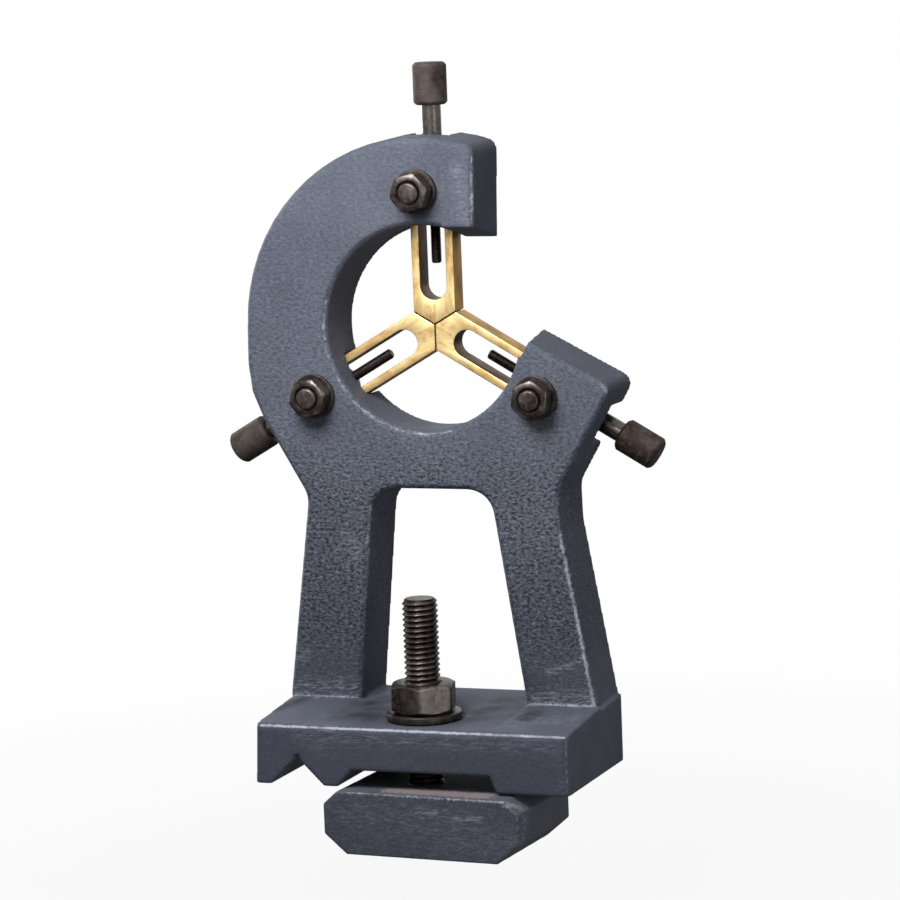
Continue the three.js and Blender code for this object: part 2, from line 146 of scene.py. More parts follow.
# Nuts: the bearing face as a share of the flats, width across flats, radius of the bore, degrees
# that the flats stand turned and how bright each flat is painted, as painted highlight and painted
# shade. Washers: inner and outer radius.
NUT_COLUMNS = 120
NUT_BEVEL_ROWS = 7
NUT_FACE = 0.95
NUT_LIP = 0.5 * MM
NUT_CORNER = 0.25 * MM
CLAMP_NUT_FLATS = 17.0 * MM
CLAMP_NUT_BORE = 4.9 * MM
CLAMP_NUT_TURN = 44.0
# Painted highlight and painted shade on the six flats of the clamp nut
CLAMP_NUT_FLAT_LIGHT = (0.3, 0.5, 0.2, 0.12, 0.45, 0.25)
LOCK_NUT_FLATS = 10.0 * MM
LOCK_NUT_BORE = 3.05 * MM
LOCK_NUT_TURN = {"top": 12.0, "left": -48.0, "right": 22.0}
# Painted highlight and painted shade on the six flats of the lock nuts
LOCK_NUT_FLAT_LIGHT = (0.15, 0.5, 0.1, 0.4, 0.0, 0.3)
CLAMP_WASHER = (5.3 * MM, 10.5 * MM)
LOCK_WASHER = (3.25 * MM, 6.2 * MM)
WASHER_COLUMNS = 64
WASHER_EASE = 0.25 * MM
BOLT_BEVEL = 0.2 * MM

# Colours, in display values. Where there are two, a slow cloud blends them.
BODY_PAINT = ((82, 86, 97), (93, 97, 109))
PLATE_PAINT = ((84, 88, 97), (96, 100, 110))
# Painted shade: the paint darkens towards this colour near the base and on walls that face sideways
PAINTED_SHADE = (58, 61, 72)
# Painted shade in the grain's creases, and painted glints on its tops
CREASE_SHADE = (26, 28, 36)
GLINT = (150, 158, 172)
# Darker patches on the base top, around the nut and near the legs' feet
BASE_TOP_DARK = (46, 47, 56)
# Rubbed paint, also the colour of the painted highlights along the bore's front edge and the legs'
# feet
RUBBED_PAINT_AND_HIGHLIGHT = (172, 176, 188)
BARE_IRON = (134, 122, 124)
BRASS_FACE = ((212, 172, 108), (250, 222, 160))
BRASS_STAIN = (150, 108, 62)
# Painted shade: darker copies of the brass for the finger's outer walls and its slot
BRASS_SIDE_SHADE = ((134, 98, 42), (184, 146, 78))
BRASS_SLOT_SHADE = ((46, 27, 14), (82, 53, 28))
BLACKED_STEEL = ((56, 43, 40), (90, 82, 79))
BRIGHT_STEEL = (122, 118, 112)
# Painted shade in threads, knurls and nut bores, on washers and on the nut flats away from the
# light
GROOVE_SHADE = (20, 15, 14)
WHITE = (1.0, 1.0, 1.0, 1.0)

# Heights in millimetres over which the paint's effects come in or fade out
FOOT_FROM = (20.0, 40.0)
LEG_GRAIN_UNTIL = (112.0, 78.0)
RING_GRAIN_FROM = (17.0, 26.0)
RING_GRAIN_UNTIL = (165.0, 120.0)
# Heights between which the painted shade towards the base fades out
PAINTED_SHADE_UNTIL = (74.0, 12.0)

# Strengths of the paint's effects
BODY_GRAIN = 0.12
PLATE_GRAIN = 0.24
CREASE_SHADE_SHARE = 0.8
GLINT_SHARE = 0.46
DARK_PATCH_SHARE = 1.4
EDGE_WEAR_SHARE = 0.14
HANDLED_AND_LIT_SHARE = 1.5
WEAR_AND_HIGHLIGHT_SHARE = 0.85

# Worn places, painted highlights and darker patches: points in millimetres that lines run through,
# then reach and strength
# Painted highlight: a pale arc along the bore's lower-left front edge, where the light catches it
BORE_TURNS = np.radians(range(165, 300, 15))
BORE_EDGE_HIGHLIGHT = [(29.4 * math.cos(a), 0.3, 124.0 + 29.4 * math.sin(a)) for a in BORE_TURNS]
CASTING_RUBBED_AND_LIT = [
    ([(38.3, 0.5, 67.0), (46.6, 0.5, 19.0)], 1.5, 1.0),
    # Painted highlight along the front of each leg's foot, where a fillet would catch the light
    ([(27.8, -0.2, 19.1), (46.0, -0.2, 19.1)], 1.6, 1.0),
    ([(-43.2, -0.2, 19.1), (-24.0, -0.2, 19.1)], 1.5, 0.9),
    ([(-41.9, -27.8, 16.5), (47.4, -27.8, 16.5)], 1.0, 1.4),
    ([(47.8, -27.8, 15.8), (47.8, -27.8, 1.0)], 1.1, 0.65),
    ([(16.7, 0.4, 171.0), (16.3, 0.4, 160.0), (16.0, 0.4, 150.0)], 1.3, 1.0),
    ([(50.5, 0.4, 112.0), (54.2, 0.4, 105.0), (53.2, 0.4, 99.0)], 1.6, 0.85),
    ([(-17.6, 0.5, 74.0), (-19.3, 0.5, 62.0)], 1.4, 0.7),
    ([(-19.3, 0.5, 62.0), (-23.6, 0.5, 24.0)], 1.2, 0.4),
    # Painted highlight along the bore's front edge
    (BORE_EDGE_HIGHLIGHT, 1.1, 0.98),
]
CASTING_SCUFFED_AND_LIT = [
    ([(34.0, 0.0, 28.5), (44.5, 0.0, 32.2)], 1.8, 1.0),
    # Painted highlight along the feet of the legs, drawn as scuffs
    ([(29.0, 0.0, 21.0), (46.0, 0.0, 21.0)], 4.0, 1.0),
    ([(-42.5, 0.0, 21.0), (-25.0, 0.0, 22.0)], 5.0, 0.9),
    ([(-42.0, 0.0, 31.0), (-39.0, 0.0, 31.0)], 2.5, 0.8),
    ([(-25.0, 0.0, 66.0), (-22.0, 0.0, 60.0)], 3.5, 0.7),
    ([(-30.0, -28.3, 14.0), (46.0, -28.3, 13.5)], 3.5, 0.3),
    ([(12.0, 0.0, 168.0), (14.0, 0.0, 154.0)], 3.2, 0.65),
    ([(30.0, -16.0, 18.0), (44.0, -12.0, 18.2)], 9.0, 0.3),
]
# Darker patches on the base top
CASTING_DARK_PATCHES = [
    ([(-14.0, -14.0, 17.8), (20.0, -9.0, 17.8), (22.0, 4.0, 18.5)], 15.0, 1.0),
    ([(31.0, -14.0, 17.8), (32.0, -8.0, 17.8)], 4.0, 1.3),
    ([(-40.0, -4.0, 17.8), (-43.0, -13.0, 17.8)], 4.5, 0.9),
    ([(-12.0, 4.0, 18.5), (-20.0, -3.0, 18.5)], 7.0, 0.9),
]
PLATE_RUBBED = [
    ([(-18.5, -31.0, -0.7), (31.4, -33.9, -0.7)], 1.2, 0.8),
    ([(31.4, -33.9, -0.7), (35.6, -34.1, -4.3), (35.6, -34.1, -12.0)], 1.2, 0.6),
]
PLATE_SCUFFED = [
    ([(6.0, -32.3, -4.7), (24.0, -33.4, -6.0)], 2.2, 0.75),
    ([(36.5, -30.0, -7.0), (36.5, -31.0, -11.0)], 5.0, 0.7),
    ([(-16.0, -31.0, -5.0), (32.0, -33.0, -13.0)], 9.0, 0.22),
]
PLATE_BARE = [
    ([(-3.0, -26.5, -0.6), (24.0, -28.0, -0.6)], 7.0, 1.6),
    ([(32.5, -32.5, -1.8), (37.0, -27.0, -2.4)], 3.0, 1.4),
]
CASTING_WEAR_AND_LIGHT = {"rubbed_and_lit": CASTING_RUBBED_AND_LIT, "scuffed_and_lit": CASTING_SCUFFED_AND_LIT, "darkened": CASTING_DARK_PATCHES}
PLATE_WEAR = {"rubbed_and_lit": PLATE_RUBBED, "scuffed_and_lit": PLATE_SCUFFED, "bare": PLATE_BARE}


# Shapes

def turned_points(radius, height, columns):
    """Points of a surface turned about Z: x = r cos a, y = r sin a and z = height, for each row
    and each angle a."""
    angle = np.linspace(0.0, 2.0 * math.pi, columns, endpoint=False)
    radius = np.broadcast_to(radius, (len(height), columns))
    height = np.broadcast_to(np.reshape(height, (len(height), -1)), (len(height), columns))
    return np.stack((radius * np.cos(angle), radius * np.sin(angle), height), axis=-1)


def eased_profile(corners, ease, closed=False, steps=4):
    """Rounds the corners of a profile: a corner B between A and C becomes the parabola
    (1-t)^2 P + 2t(1-t) B + t^2 Q, where P and Q lie on BA and BC at the easing distance."""
    corners = np.asarray(corners, float)
    before = np.roll(corners, 1, axis=0) - corners
    after = np.roll(corners, -1, axis=0) - corners
    length_before = np.linalg.norm(before, axis=1, keepdims=True)
    length_after = np.linalg.norm(after, axis=1, keepdims=True)
    start = (corners + before / length_before * np.minimum(ease, 0.45 * length_before))[:, None]
    stop = (corners + after / length_after * np.minimum(ease, 0.45 * length_after))[:, None]
    t = np.linspace(0.0, 1.0, steps)[None, :, None]
    curve = (1 - t) ** 2 * start + 2 * t * (1 - t) * corners[:, None] + t**2 * stop
    if closed:
        return curve.reshape(-1, 2)
    return np.concatenate((corners[:1], curve[1:-1].reshape(-1, 2), corners[-1:]))


def resampled(profile, spacing):
    """Adds points along a profile, so that no two are further apart than the spacing, and keeps
    its own."""
    steps = np.linalg.norm(np.diff(profile, axis=0), axis=1)
    reach = np.concatenate(([0.0], np.cumsum(steps)))
    extra = np.arange(0.0, reach[-1], spacing)
    places = np.unique(np.round(np.concatenate((reach, extra)), 9))
    return np.stack([np.interp(places, reach, profile[:, side]) for side in (0, 1)], axis=1)


def triangle_wave(phase):
    """The wave |2 (phase mod 1) - 1|: 1 at each whole phase and 0 halfway between."""
    return np.abs(2.0 * (phase % 1.0) - 1.0)


def helix_wave(height, columns, pitch):
    """A thread's depth, 0 at the crest and 1 at the root: a triangle wave of
    height / pitch - angle / turn, so that it climbs one pitch in each turn."""
    turn = np.arange(columns) / columns
    return triangle_wave(height[:, None] / pitch - turn[None, :])


def placed(points, origin, across, along):
    """Carries points from a piece's own axes into the frame: Z along the piece, X across it."""
    along = np.asarray(along, float)
    across = np.asarray(across, float)
    third = np.cross(along, across)
    return points @ np.stack((across, third, along)) + np.asarray(origin, float)


def store(mesh, name, values):
    """Stores one value for each vertex, which a finish reads by name."""
    mesh.attributes.new(name, "FLOAT", "POINT").data.foreach_set("value", values)


def grid_mesh(name, points, rows_close=False, marks=None):
    """A closed mesh of a grid of points whose columns close on themselves. The rows close too, or
    else the first and the last row are each filled by a fan round their mean point. Marks are
    values on the grid's points that the finish reads by name."""
    rows, columns, _ = points.shape
    index = np.arange(rows * columns).reshape(rows, columns)
    right = np.roll(index, -1, axis=1)
    corners = (index, right, np.roll(right, -1, axis=0), np.roll(index, -1, axis=0))
    bands = rows if rows_close else rows - 1
    faces = np.stack([corner[:bands] for corner in corners], axis=-1).reshape(-1, 4).tolist()
    vertices = points.reshape(-1, 3)
    if not rows_close:
        ends = np.array([points[0].mean(0), points[-1].mean(0)])
        vertices = np.concatenate((vertices, ends))
        first = np.stack((right[0], index[0], np.full(columns, rows * columns)), axis=-1)
        last = np.stack((index[-1], right[-1], np.full(columns, rows * columns + 1)), axis=-1)
        faces += first.tolist() + last.tolist()
    mesh = bpy.data.meshes.new(name)
    mesh.from_pydata(vertices.tolist(), [], faces)
    for label, values in (marks or {}).items():
        spread = np.zeros(len(vertices))
        spread[:rows * columns] = np.broadcast_to(values, (rows, columns)).ravel()
        store(mesh, label, spread)
    return mesh


def in_scene(name, data):
    """A new object of the scene for some data."""
    obj = bpy.data.objects.new(name, data)
    bpy.context.scene.collection.objects.link(obj)
    return obj


def piece(name, mesh, body, slot, finish, *nodes, smooth_angle=38.0):
    """Puts a mesh into the scene as a piece of one body, with its finish and the nodes it stands
    for."""
    mesh.name = name
    mesh.materials.clear()
    mesh.materials.append(finish)
    mesh.shade_smooth()
    mesh.set_sharp_from_angle(angle=math.radians(smooth_angle))
    obj = in_scene(name, mesh)
    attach(obj, body)
    if nodes:
        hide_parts(*nodes)
    return obj


def merged_copy(node, name):
    """A copy of a node's mesh with its loose triangles joined into one closed skin."""
    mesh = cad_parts[node].data.copy()
    mesh.name = name
    obj = in_scene(name, mesh)
    weld = obj.modifiers.new("weld", "WELD")
    weld.merge_threshold = 0.001 * MM
    return obj


def applied_mesh(obj):
    """The mesh that an object shows once its modifiers have run. The object itself is removed."""
    graph = bpy.context.evaluated_depsgraph_get()
    mesh = bpy.data.meshes.new_from_object(obj.evaluated_get(graph))
    bpy.data.objects.remove(obj)
    return mesh


def points_of(mesh):
    """The places of a mesh's vertices, one row each."""
    co = np.empty(len(mesh.vertices) * 3)
    mesh.vertices.foreach_get("co", co)
    return co.reshape(-1, 3)


def move_points(mesh, points):
    """Gives a mesh's vertices new places."""
    mesh.vertices.foreach_set("co", np.asarray(points).ravel())
    mesh.update()


def run_once(mesh, kind, **settings):
    """The points of a mesh after one modifier has run on a copy of it."""
    obj = in_scene("passing", mesh.copy())
    modifier = obj.modifiers.new("passing", kind)
    for key, value in settings.items():
        setattr(modifier, key, value)
    return points_of(applied_mesh(obj))


def sharp_edge_points(mesh, angle, step):
    """Points along every edge whose two faces turn by more than the angle, a step apart or less:
    start + (stop - start) * k / count for each edge."""
    normal = np.array([n.vector[:] for n in mesh.polygon_normals])
    loop_edge = np.empty(len(mesh.loops), int)
    mesh.loops.foreach_get("edge_index", loop_edge)
    sides = np.empty(len(mesh.polygons), int)
    mesh.polygons.foreach_get("loop_total", sides)
    loop_face = np.repeat(np.arange(len(sides)), sides)
    order = np.argsort(loop_edge, kind="stable")
    first = np.searchsorted(loop_edge[order], np.arange(len(mesh.edges)))
    paired = np.bincount(loop_edge, minlength=len(mesh.edges)) == 2
    first = first[paired]
    turn = (normal[loop_face[order[first]]] * normal[loop_face[order[first + 1]]]).sum(1)
    ends = np.empty(len(mesh.edges) * 2, int)
    mesh.edges.foreach_get("vertices", ends)
    ends = points_of(mesh)[ends.reshape(-1, 2)[paired][turn < math.cos(angle)]]
    start, reach = ends[:, 0], ends[:, 1] - ends[:, 0]
    count = np.ceil(np.linalg.norm(reach, axis=1) / step).astype(int) + 1
    edge = np.repeat(np.arange(len(count)), count)
    place = np.arange(count.sum()) - np.repeat(np.cumsum(count) - count, count)
    share = place / np.maximum(count[edge] - 1, 1)
    return start[edge] + reach[edge] * share[:, None]


def line_share(points, lines):
    """How near each point lies to the nearest of some lines: strength * (1 - distance / reach),
    and 0 beyond the reach."""
    share = np.zeros(len(points))
    for through, reach, strength in lines:
        through = np.array(through) * MM
        for start, stop in zip(through[:-1], through[1:]):
            line = stop - start
            along = np.clip((points - start) @ line / (line @ line), 0.0, 1.0)
            distance = np.linalg.norm(points - start - along[:, None] * line, axis=1)
            near = np.clip(1.0 - distance / (reach * MM), 0.0, 1.0)
            share = np.maximum(share, strength * near)
    return share


def cast_skin(node, cell, depth, wear_and_highlight):
    """A sand-cast skin over a node's solid. The solid is covered by even cells, whose points are
    drawn onto it and, where a sharp edge is near, onto that edge. Smoothing then rounds the edges.
    The attribute 'edge' says how far a point moves inwards under a wider smoothing: it is positive
    on edges that stand out and negative in corners. 'facing' is 1 where the skin faces along Y.
    Each list of wear, painted highlight and darker patches is stored under its own name."""
    lowest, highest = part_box(node)
    solid = merged_copy(node, node + "_solid")
    skin = merged_copy(node, node + "_skin")
    remesh = skin.modifiers.new("even", "REMESH")
    remesh.mode = "SHARP"
    remesh.octree_depth = depth
    remesh.scale = min(0.99, max(highest - lowest) / (cell * 2.0**depth))
    remesh.use_remove_disconnected = False
    mesh = applied_mesh(skin)
    drawn = run_once(mesh, "SHRINKWRAP", target=solid, wrap_method="NEAREST_SURFACEPOINT")
    edge_points = sharp_edge_points(applied_mesh(solid), SHARP_TURN, EDGE_STEP)
    edges = bpy.data.meshes.new(node + "_edges")
    edges.from_pydata(edge_points.tolist(), [], [])
    edges = in_scene(node + "_edges", edges)
    move_points(mesh, drawn)
    on_edge = run_once(mesh, "SHRINKWRAP", target=edges, wrap_method="NEAREST_VERTEX")
    bpy.data.objects.remove(edges)
    near = np.linalg.norm(on_edge - drawn, axis=1) < EDGE_DRAW * cell
    move_points(mesh, np.where(near[:, None], on_edge, drawn))
    wide = run_once(mesh, "SMOOTH", factor=0.5, iterations=EDGE_SMOOTHING)
    normal = np.array([n.vector[:] for n in mesh.vertex_normals])
    moved = ((points_of(mesh) - wide) * normal).sum(1)
    move_points(mesh, run_once(mesh, "SMOOTH", factor=0.5, iterations=CAST_SMOOTHING))
    store(mesh, "edge", np.clip(moved / (EDGE_FULL * cell), -1.0, 1.0))
    store(mesh, "facing", np.abs(normal[:, 1]))
    for label, lines in wear_and_highlight.items():
        store(mesh, label, line_share(drawn, lines))
    return mesh


# Node helpers

def feed(tree, socket, value):
    """Links another node's output to a socket, or sets the socket's own value."""
    if isinstance(value, bpy.types.NodeSocket):
        tree.links.new(value, socket)
    else:
        socket.default_value = value


def add_node(tree, kind, values=None, **settings):
    """Adds a node, sets its own settings and then the inputs named in values."""
    node = tree.nodes.new(kind)
    for key, value in settings.items():
        setattr(node, key, value)
    for key, value in (values or {}).items():
        feed(tree, node.inputs[key], value)
    return node


def new_group(name, inputs, outputs):
    """A shader node group with the sockets named, and its input and output nodes."""
    tree = bpy.data.node_groups.new(name, "ShaderNodeTree")
    for label, kind, value in inputs:
        socket = tree.interface.new_socket(label, in_out="INPUT", socket_type=kind)
        socket.default_value = value
    for label in outputs:
        tree.interface.new_socket(label, in_out="OUTPUT", socket_type="NodeSocketFloat")
    return tree, tree.nodes.new("NodeGroupInput"), tree.nodes.new("NodeGroupOutput")


def object_place(tree):
    """Object coordinates, which are the frame's own metres."""
    return add_node(tree, "ShaderNodeTexCoord").outputs["Object"]


def attribute(tree, name):
    """A value that the mesh stores for each vertex, and 0 where it stores none."""
    return add_node(tree, "ShaderNodeAttribute", attribute_name=name).outputs["Fac"]


def noise(tree, place, scale, detail=2.0, roughness=0.5):
    """Noise from 0 to 1, with the scale in waves to the metre."""
    values = {"Vector": place, "Scale": scale, "Detail": detail, "Roughness": roughness}
    return add_node(tree, "ShaderNodeTexNoise", values).outputs["Fac"]


def stretched(tree, place, scale):
    """A place with each axis multiplied, so that a pattern on it shrinks along that axis."""
    return add_node(tree, "ShaderNodeMapping", {"Vector": place, "Scale": scale}).outputs["Vector"]


def axis_of(tree, place, axis):
    """One axis of a place."""
    return add_node(tree, "ShaderNodeSeparateXYZ", {"Vector": place}).outputs[axis]


def remap(tree, value, low, high, to_low=0.0, to_high=1.0):
    """Carries the range from low to high onto another and holds it there."""
    values = {"Value": value, "From Min": low, "From Max": high}
    values |= {"To Min": to_low, "To Max": to_high}
    return add_node(tree, "ShaderNodeMapRange", values).outputs["Result"]


def maths(tree, operation, first, second, clamp=False):
    """Adds, subtracts, multiplies or takes the greater of two values."""
    node = add_node(tree, "ShaderNodeMath", operation=operation, use_clamp=clamp)
    for socket, value in zip(node.inputs, (first, second)):
        feed(tree, socket, value)
    return node.outputs["Value"]


def blend(tree, share, first, second):
    """Mixes two colours, from the first at a share of 0 to the second at 1."""
    node = add_node(tree, "ShaderNodeMix", data_type="RGBA")
    for place, value in ((0, share), (6, first), (7, second)):
        feed(tree, node.inputs[place], value)
    return node.outputs[2]


def colour(display):
    """A colour written in display values from 0 to 255, as linear light."""
    shares = np.array(display) / 255.0
    linear = np.where(shares <= 0.04045, shares / 12.92, ((shares + 0.055) / 1.055) ** 2.4)
    return (*linear.tolist(), 1.0)


def clouded(tree, share, shades):
    """Two shades of a colour, blended by a share."""
    return blend(tree, share, colour(shades[0]), colour(shades[1]))


def bump(tree, surface, height, strength, distance):
    """Lets a height, in steps of the distance, tilt the surface's normals."""
    values = {"Height": height, "Strength": strength, "Distance": distance}
    node = add_node(tree, "ShaderNodeBump", values)
    tree.links.new(node.outputs["Normal"], surface.inputs["Normal"])


# Reusable effects

def hammered_paint_group():
    """Paint over a rough casting: a grain with painted shade in its creases and painted glints on
    its tops, on slower waves. The grain is strongest on the legs, weaker up the ring and nearly
    level on the base, and walls that face sideways have less. Painted shade darkens the paint
    towards the base and on those walls."""
    inputs = [
        ("Size", "NodeSocketFloat", 820.0),
        ("Level Ground", "NodeSocketFloat", 0.25),
        ("Facing", "NodeSocketFloat", 1.0),
    ]
    outputs = ("Height", "Tone", "Crease Shade", "Glints", "Painted Shade")
    tree, given, out = new_group("hammered paint", inputs, outputs)
    place = object_place(tree)
    up = axis_of(tree, place, "Z")

    def by_height(heights, to_low=0.0, to_high=1.0):
        return remap(tree, up, heights[0] * MM, heights[1] * MM, to_low, to_high)

    foot = by_height(FOOT_FROM)
    legs = maths(tree, "MULTIPLY", foot, by_height(LEG_GRAIN_UNTIL))
    ring = by_height(RING_GRAIN_UNTIL, 0.26, 0.46)
    ring = maths(tree, "MULTIPLY", by_height(RING_GRAIN_FROM), ring)
    fronts = remap(tree, given.outputs["Facing"], 0.3, 0.9, 0.35, 1.0)
    rough = maths(tree, "MAXIMUM", legs, ring)
    rough = maths(tree, "MAXIMUM", rough, given.outputs["Level Ground"])
    rough = maths(tree, "MULTIPLY", rough, fronts)
    flat = stretched(tree, place, (1.0, 1.0, 1.5))
    grain = noise(tree, flat, given.outputs["Size"], detail=3.0, roughness=0.7)
    # Painted shade in the grain's creases and painted glints on its tops
    crease_shade = maths(tree, "MULTIPLY", remap(tree, grain, 0.5, 0.4), rough)
    glints = maths(tree, "MULTIPLY", remap(tree, grain, 0.56, 0.68), rough)
    pebbles = maths(tree, "MULTIPLY", maths(tree, "MULTIPLY", grain, 2.6), rough)
    waves = maths(tree, "MULTIPLY", noise(tree, place, 160.0), 0.8)
    tone = noise(tree, place, 38.0, detail=3.0)
    # Painted shade, darker towards the base and on walls that face sideways, broken by the slow
    # tone
    low = maths(tree, "MULTIPLY", by_height(PAINTED_SHADE_UNTIL, 0.0, 0.78), fronts)
    low = maths(tree, "MULTIPLY", low, remap(tree, tone, 0.3, 0.6, 0.7, 1.0))
    wall = maths(tree, "MULTIPLY", remap(tree, given.outputs["Facing"], 0.9, 0.3, 0.0, 0.4), foot)
    tree.links.new(maths(tree, "ADD", pebbles, waves), out.inputs["Height"])
    tree.links.new(tone, out.inputs["Tone"])
    tree.links.new(crease_shade, out.inputs["Crease Shade"])
    tree.links.new(glints, out.inputs["Glints"])
    tree.links.new(maths(tree, "MAXIMUM", low, wall), out.inputs["Painted Shade"])
    return tree


def wear_group():
    """Paint rubbed thin along edges: the edge value, broken up by a noise, becomes a mask."""
    inputs = [
        ("Edge", "NodeSocketFloat", 0.0),
        ("Start", "NodeSocketFloat", 0.35),
        ("Break Up", "NodeSocketFloat", 0.35),
    ]
    tree, given, out = new_group("rubbed edges", inputs, ("Mask",))
    rough = noise(tree, object_place(tree), 900.0, detail=3.0, roughness=0.7)
    shift = maths(tree, "SUBTRACT", rough, 0.5)
    shift = maths(tree, "MULTIPLY", shift, given.outputs["Break Up"])
    value = maths(tree, "ADD", given.outputs["Edge"], maths(tree, "MULTIPLY", shift, 3.0))
    above = maths(tree, "SUBTRACT", value, given.outputs["Start"])
    tree.links.new(maths(tree, "MULTIPLY", above, 3.0, clamp=True), out.inputs["Mask"])
    return tree


def scuff_group():
    """Thin pale scratches: two noises, stretched in directions that cross, and cut high. They show
    where the amount is high and, faintly, in patches over the rest."""
    tree, given, out = new_group("scuffs_and_highlight", [("Amount", "NodeSocketFloat", 0.5)], ("Mask",))
    place = object_place(tree)
    values = {"Vector": place, "Rotation": (0.0, math.radians(18.0), 0.0)}
    lean = add_node(tree, "ShaderNodeMapping", values).outputs["Vector"]
    upright = stretched(tree, place, (1.0, 1.0, 7.0))
    leaning = stretched(tree, lean, (1.0, 1.0, 6.0))
    first = noise(tree, upright, 220.0, detail=4.0, roughness=0.75)
    second = noise(tree, leaning, 260.0, detail=4.0, roughness=0.75)
    first, second = remap(tree, first, 0.5, 0.7), remap(tree, second, 0.52, 0.72)
    streaks = maths(tree, "MAXIMUM", first, second)
    patches = remap(tree, noise(tree, place, 60.0), 0.58, 0.75)
    patches = maths(tree, "MULTIPLY", patches, 0.25)
    amount = maths(tree, "MAXIMUM", given.outputs["Amount"], patches)
    tree.links.new(maths(tree, "MULTIPLY", streaks, amount, clamp=True), out.inputs["Mask"])
    return tree


def drawn_grain_group():
    """Fine parallel lines of drawn or filed metal, from a noise stretched along one axis of the
    place given, with a slower cloud."""
    inputs = [
        ("Place", "NodeSocketVector", (0.0, 0.0, 0.0)),
        ("Stretch", "NodeSocketVector", (1.0, 1.0, 1.0)),
        ("Scale", "NodeSocketFloat", 900.0),
    ]
    tree, given, out = new_group("drawn grain", inputs, ("Lines", "Cloud"))
    place = given.outputs["Place"]
    drawn = stretched(tree, place, given.outputs["Stretch"])
    lines = noise(tree, drawn, given.outputs["Scale"], detail=3.0, roughness=0.6)
    tree.links.new(lines, out.inputs["Lines"])
    tree.links.new(noise(tree, place, 130.0, detail=3.0), out.inputs["Cloud"])
    return tree


GROUPS = {
    "paint": hammered_paint_group(),
    "wear_and_highlight": wear_group(),
    "scuffs_and_highlight": scuff_group(),
    "grain": drawn_grain_group(),
}


def use_group(tree, key, values):
    """Places one of the effects in a material with its own values."""
    node = tree.nodes.new("ShaderNodeGroup")
    node.node_tree = GROUPS[key]
    for label, value in values.items():
        feed(tree, node.inputs[label], value)
    return node.outputs


def new_finish(name, **values):
    """A material with one Principled surface whose uniform values are set on its sockets."""
    material = bpy.data.materials.new(name)
    material.use_nodes = True
    tree = material.node_tree
    surface = next(n for n in tree.nodes if n.type == "BSDF_PRINCIPLED")
    for label, value in values.items():
        surface.inputs[label.replace("_", " ")].default_value = value
    return material, tree, surface


# Finishes

def painted_casting(name, shades, grain):
    """Grey-blue paint over a sand casting, with painted shade in its creases, towards the base and
    on walls that face sideways, painted glints on its grain, darker patches on the base top, rubbed
    pale where the part is handled, painted highlights along the bore's front edge and the legs'
    feet, and worn to bare iron on the plate's top."""
    material, tree, surface = new_finish(name, Specular_IOR_Level=0.04, Roughness=0.52)
    place = object_place(tree)
    paint = use_group(tree, "paint", {"Level Ground": grain, "Facing": attribute(tree, "facing")})
    base = clouded(tree, remap(tree, paint["Tone"], 0.35, 0.65), shades)
    # Painted shade towards the base and on sideways walls
    base = blend(tree, paint["Painted Shade"], base, colour(PAINTED_SHADE))
    # Painted shade in the creases of the grain and painted glints on its tops
    crease_shade = maths(tree, "MULTIPLY", paint["Crease Shade"], CREASE_SHADE_SHARE)
    base = blend(tree, crease_shade, base, colour(CREASE_SHADE))
    glints = maths(tree, "MULTIPLY", paint["Glints"], GLINT_SHARE)
    base = blend(tree, glints, base, colour(GLINT))
    # Darker in patches on the base top
    blots = noise(tree, place, 110.0, detail=3.0, roughness=0.6)
    darkening = maths(tree, "MULTIPLY", attribute(tree, "darkened"), DARK_PATCH_SHARE, clamp=True)
    darkening = maths(tree, "MULTIPLY", darkening, remap(tree, blots, 0.38, 0.6, 0.3, 0.85))
    base = blend(tree, darkening, base, colour(BASE_TOP_DARK))
    values = {"Edge": attribute(tree, "edge"), "Start": 0.8, "Break Up": 0.5}
    edges = maths(tree, "MULTIPLY", use_group(tree, "wear_and_highlight", values)["Mask"], EDGE_WEAR_SHARE)
    # Rubbed lines, which also carry the painted highlights along the bore's front edge and the
    # legs' feet
    lines = attribute(tree, "rubbed_and_lit")
    values = {"Edge": lines, "Start": 0.5, "Break Up": 0.5}
    handled_and_lit = maths(tree, "MULTIPLY", use_group(tree, "wear_and_highlight", values)["Mask"], lines, clamp=True)
    uneven = noise(tree, place, 240.0, detail=3.0, roughness=0.6)
    handled_and_lit = maths(tree, "MULTIPLY", handled_and_lit, remap(tree, uneven, 0.38, 0.62, 0.35, 0.9))
    handled_and_lit = maths(tree, "MULTIPLY", handled_and_lit, HANDLED_AND_LIT_SHARE, clamp=True)
    # Scuffs, which also carry the painted highlight along the legs' feet
    scuffs_and_highlight = use_group(tree, "scuffs_and_highlight", {"Amount": attribute(tree, "scuffed_and_lit")})["Mask"]
    wear_and_highlight = maths(tree, "MAXIMUM", maths(tree, "MAXIMUM", edges, handled_and_lit), scuffs_and_highlight)
    wear_and_highlight = maths(tree, "MULTIPLY", wear_and_highlight, WEAR_AND_HIGHLIGHT_SHARE)
    worn = blend(tree, wear_and_highlight, base, colour(RUBBED_PAINT_AND_HIGHLIGHT))
    values = {"Edge": attribute(tree, "bare"), "Start": 0.7, "Break Up": 0.9}
    worn = blend(tree, use_group(tree, "wear_and_highlight", values)["Mask"], worn, colour(BARE_IRON))
    tree.links.new(worn, surface.inputs["Base Color"])
    bump(tree, surface, paint["Height"], strength=1.0, distance=0.32 * MM)
    return material


